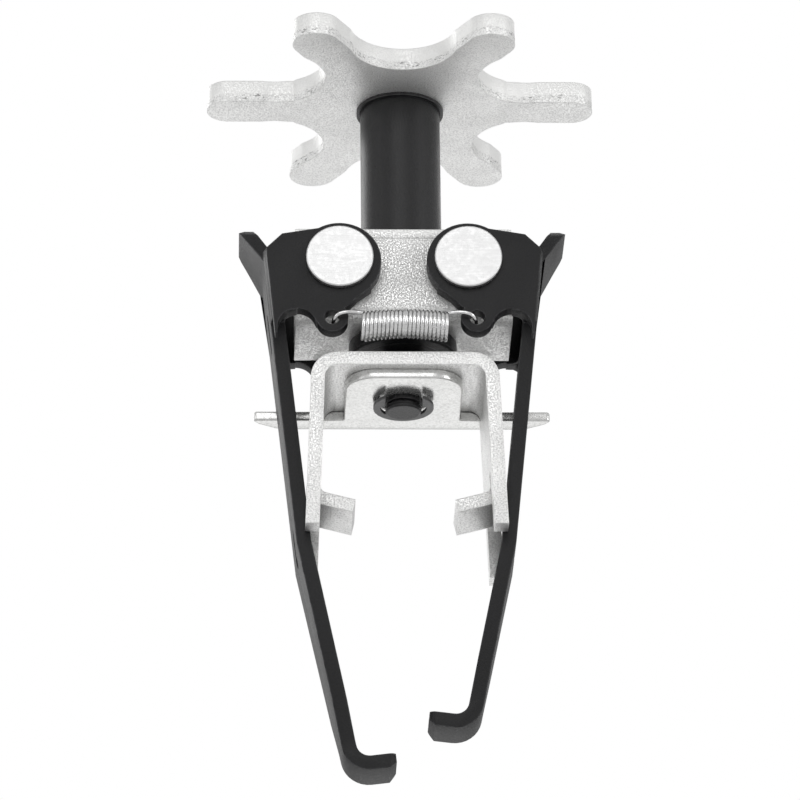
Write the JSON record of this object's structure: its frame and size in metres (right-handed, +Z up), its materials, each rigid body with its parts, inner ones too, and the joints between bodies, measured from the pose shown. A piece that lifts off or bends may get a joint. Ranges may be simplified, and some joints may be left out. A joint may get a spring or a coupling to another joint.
{
  "type": "gear puller",
  "caption": "Two-jaw puller with a star handle on a threaded sleeve that drives a pressing fork down between hinged hooked jaws.",
  "frame": {"origin": "centre of the part's base, on the screw axis at the height of the longer jaw's hook", "axes": "+Z up along the screw axis towards the star handle, +X towards the shorter jaw, -Y towards the tension spring's side (the front)"},
  "size_m": [0.1164, 0.0978, 0.2216],
  "materials": {
    "zinc_plate": "matt zinc plating over a shot-blasted surface",
    "zinc_sheet": "matt zinc plating, slightly sandy",
    "fork_zinc": "bright zinc plating, lightly speckled",
    "guide_zinc": "smooth bright zinc plating",
    "rivet_steel": "bright turned faces",
    "spring_wire": "bright drawn wire",
    "black_coated": "satin black coating, fine grain",
    "black_oxide": "satin black",
    "clip_steel": "dark phosphated spring steel"
  },
  "bodies": {
    "frame": {"frame_channel": "zinc_sheet", "frame_cover": "zinc_sheet", "tension_spring": "spring_wire"},
    "handle": {"star_handle": "zinc_plate", "handle_ring": "black_oxide", "sleeve": "black_oxide", "sleeve_collar": "black_oxide", "thrust_washer": "zinc_plate", "retaining_ring": "black_oxide"},
    "carriage": {"feed_screw": "black_oxide", "pressing_fork": "fork_zinc", "guide_plate": "guide_zinc", "screw_washer": "zinc_plate", "e_clip": "clip_steel"},
    "left_pivot": {"left_pivot_rivet": "rivet_steel", "left_rivet_washer": "rivet_steel"},
    "right_pivot": {"right_pivot_rivet": "rivet_steel", "right_rivet_washer": "rivet_steel"},
    "long_jaw_body": {"long_jaw": "black_coated"},
    "short_jaw_body": {"short_jaw": "black_coated"}
  },
  "joints": [
    {"name": "handle_turn", "type": "hinge", "parent": "frame", "child": "handle", "pos_m": [0, 0, 0], "axis": [0, 0, 1], "range_deg": [0, 5400]},
    {"name": "screw_feed", "type": "slide", "parent": "frame", "child": "carriage", "axis": [0, 0, -1], "range_m": [0, 0.0301]},
    {"name": "left_spread", "type": "hinge", "parent": "frame", "child": "left_pivot", "pos_m": [-0.0189, 0, 0.155], "axis": [0, 1, 0], "range_deg": [0, 3.3]},
    {"name": "right_spread", "type": "hinge", "parent": "frame", "child": "right_pivot", "pos_m": [0.0189, 0, 0.155], "axis": [0, -1, 0], "range_deg": [0, 3.3]},
    {"name": "long_jaw_swing", "type": "hinge", "parent": "left_pivot", "child": "long_jaw_body", "pos_m": [-0.0189, 0, 0.155], "axis": [0, 1, 0], "range_deg": [0, 18], "stiffness_Nm_per_rad": 0.3, "springref_deg": -28.65, "deforming": ["tension_spring"]},
    {"name": "short_jaw_swing", "type": "hinge", "parent": "right_pivot", "child": "short_jaw_body", "pos_m": [0.0189, 0, 0.155], "axis": [0, -1, 0], "range_deg": [0, 18], "stiffness_Nm_per_rad": 0.3, "springref_deg": -28.65, "deforming": ["tension_spring"]}
  ],
  "couplings": [
    {"joint": "screw_feed", "follows": "handle_turn", "m_per_rad": 0.00031831},
    {"joint": "left_spread", "follows": "handle_turn", "ratio": 0.00059},
    {"joint": "right_spread", "follows": "handle_turn", "ratio": 0.00059}
  ]
}
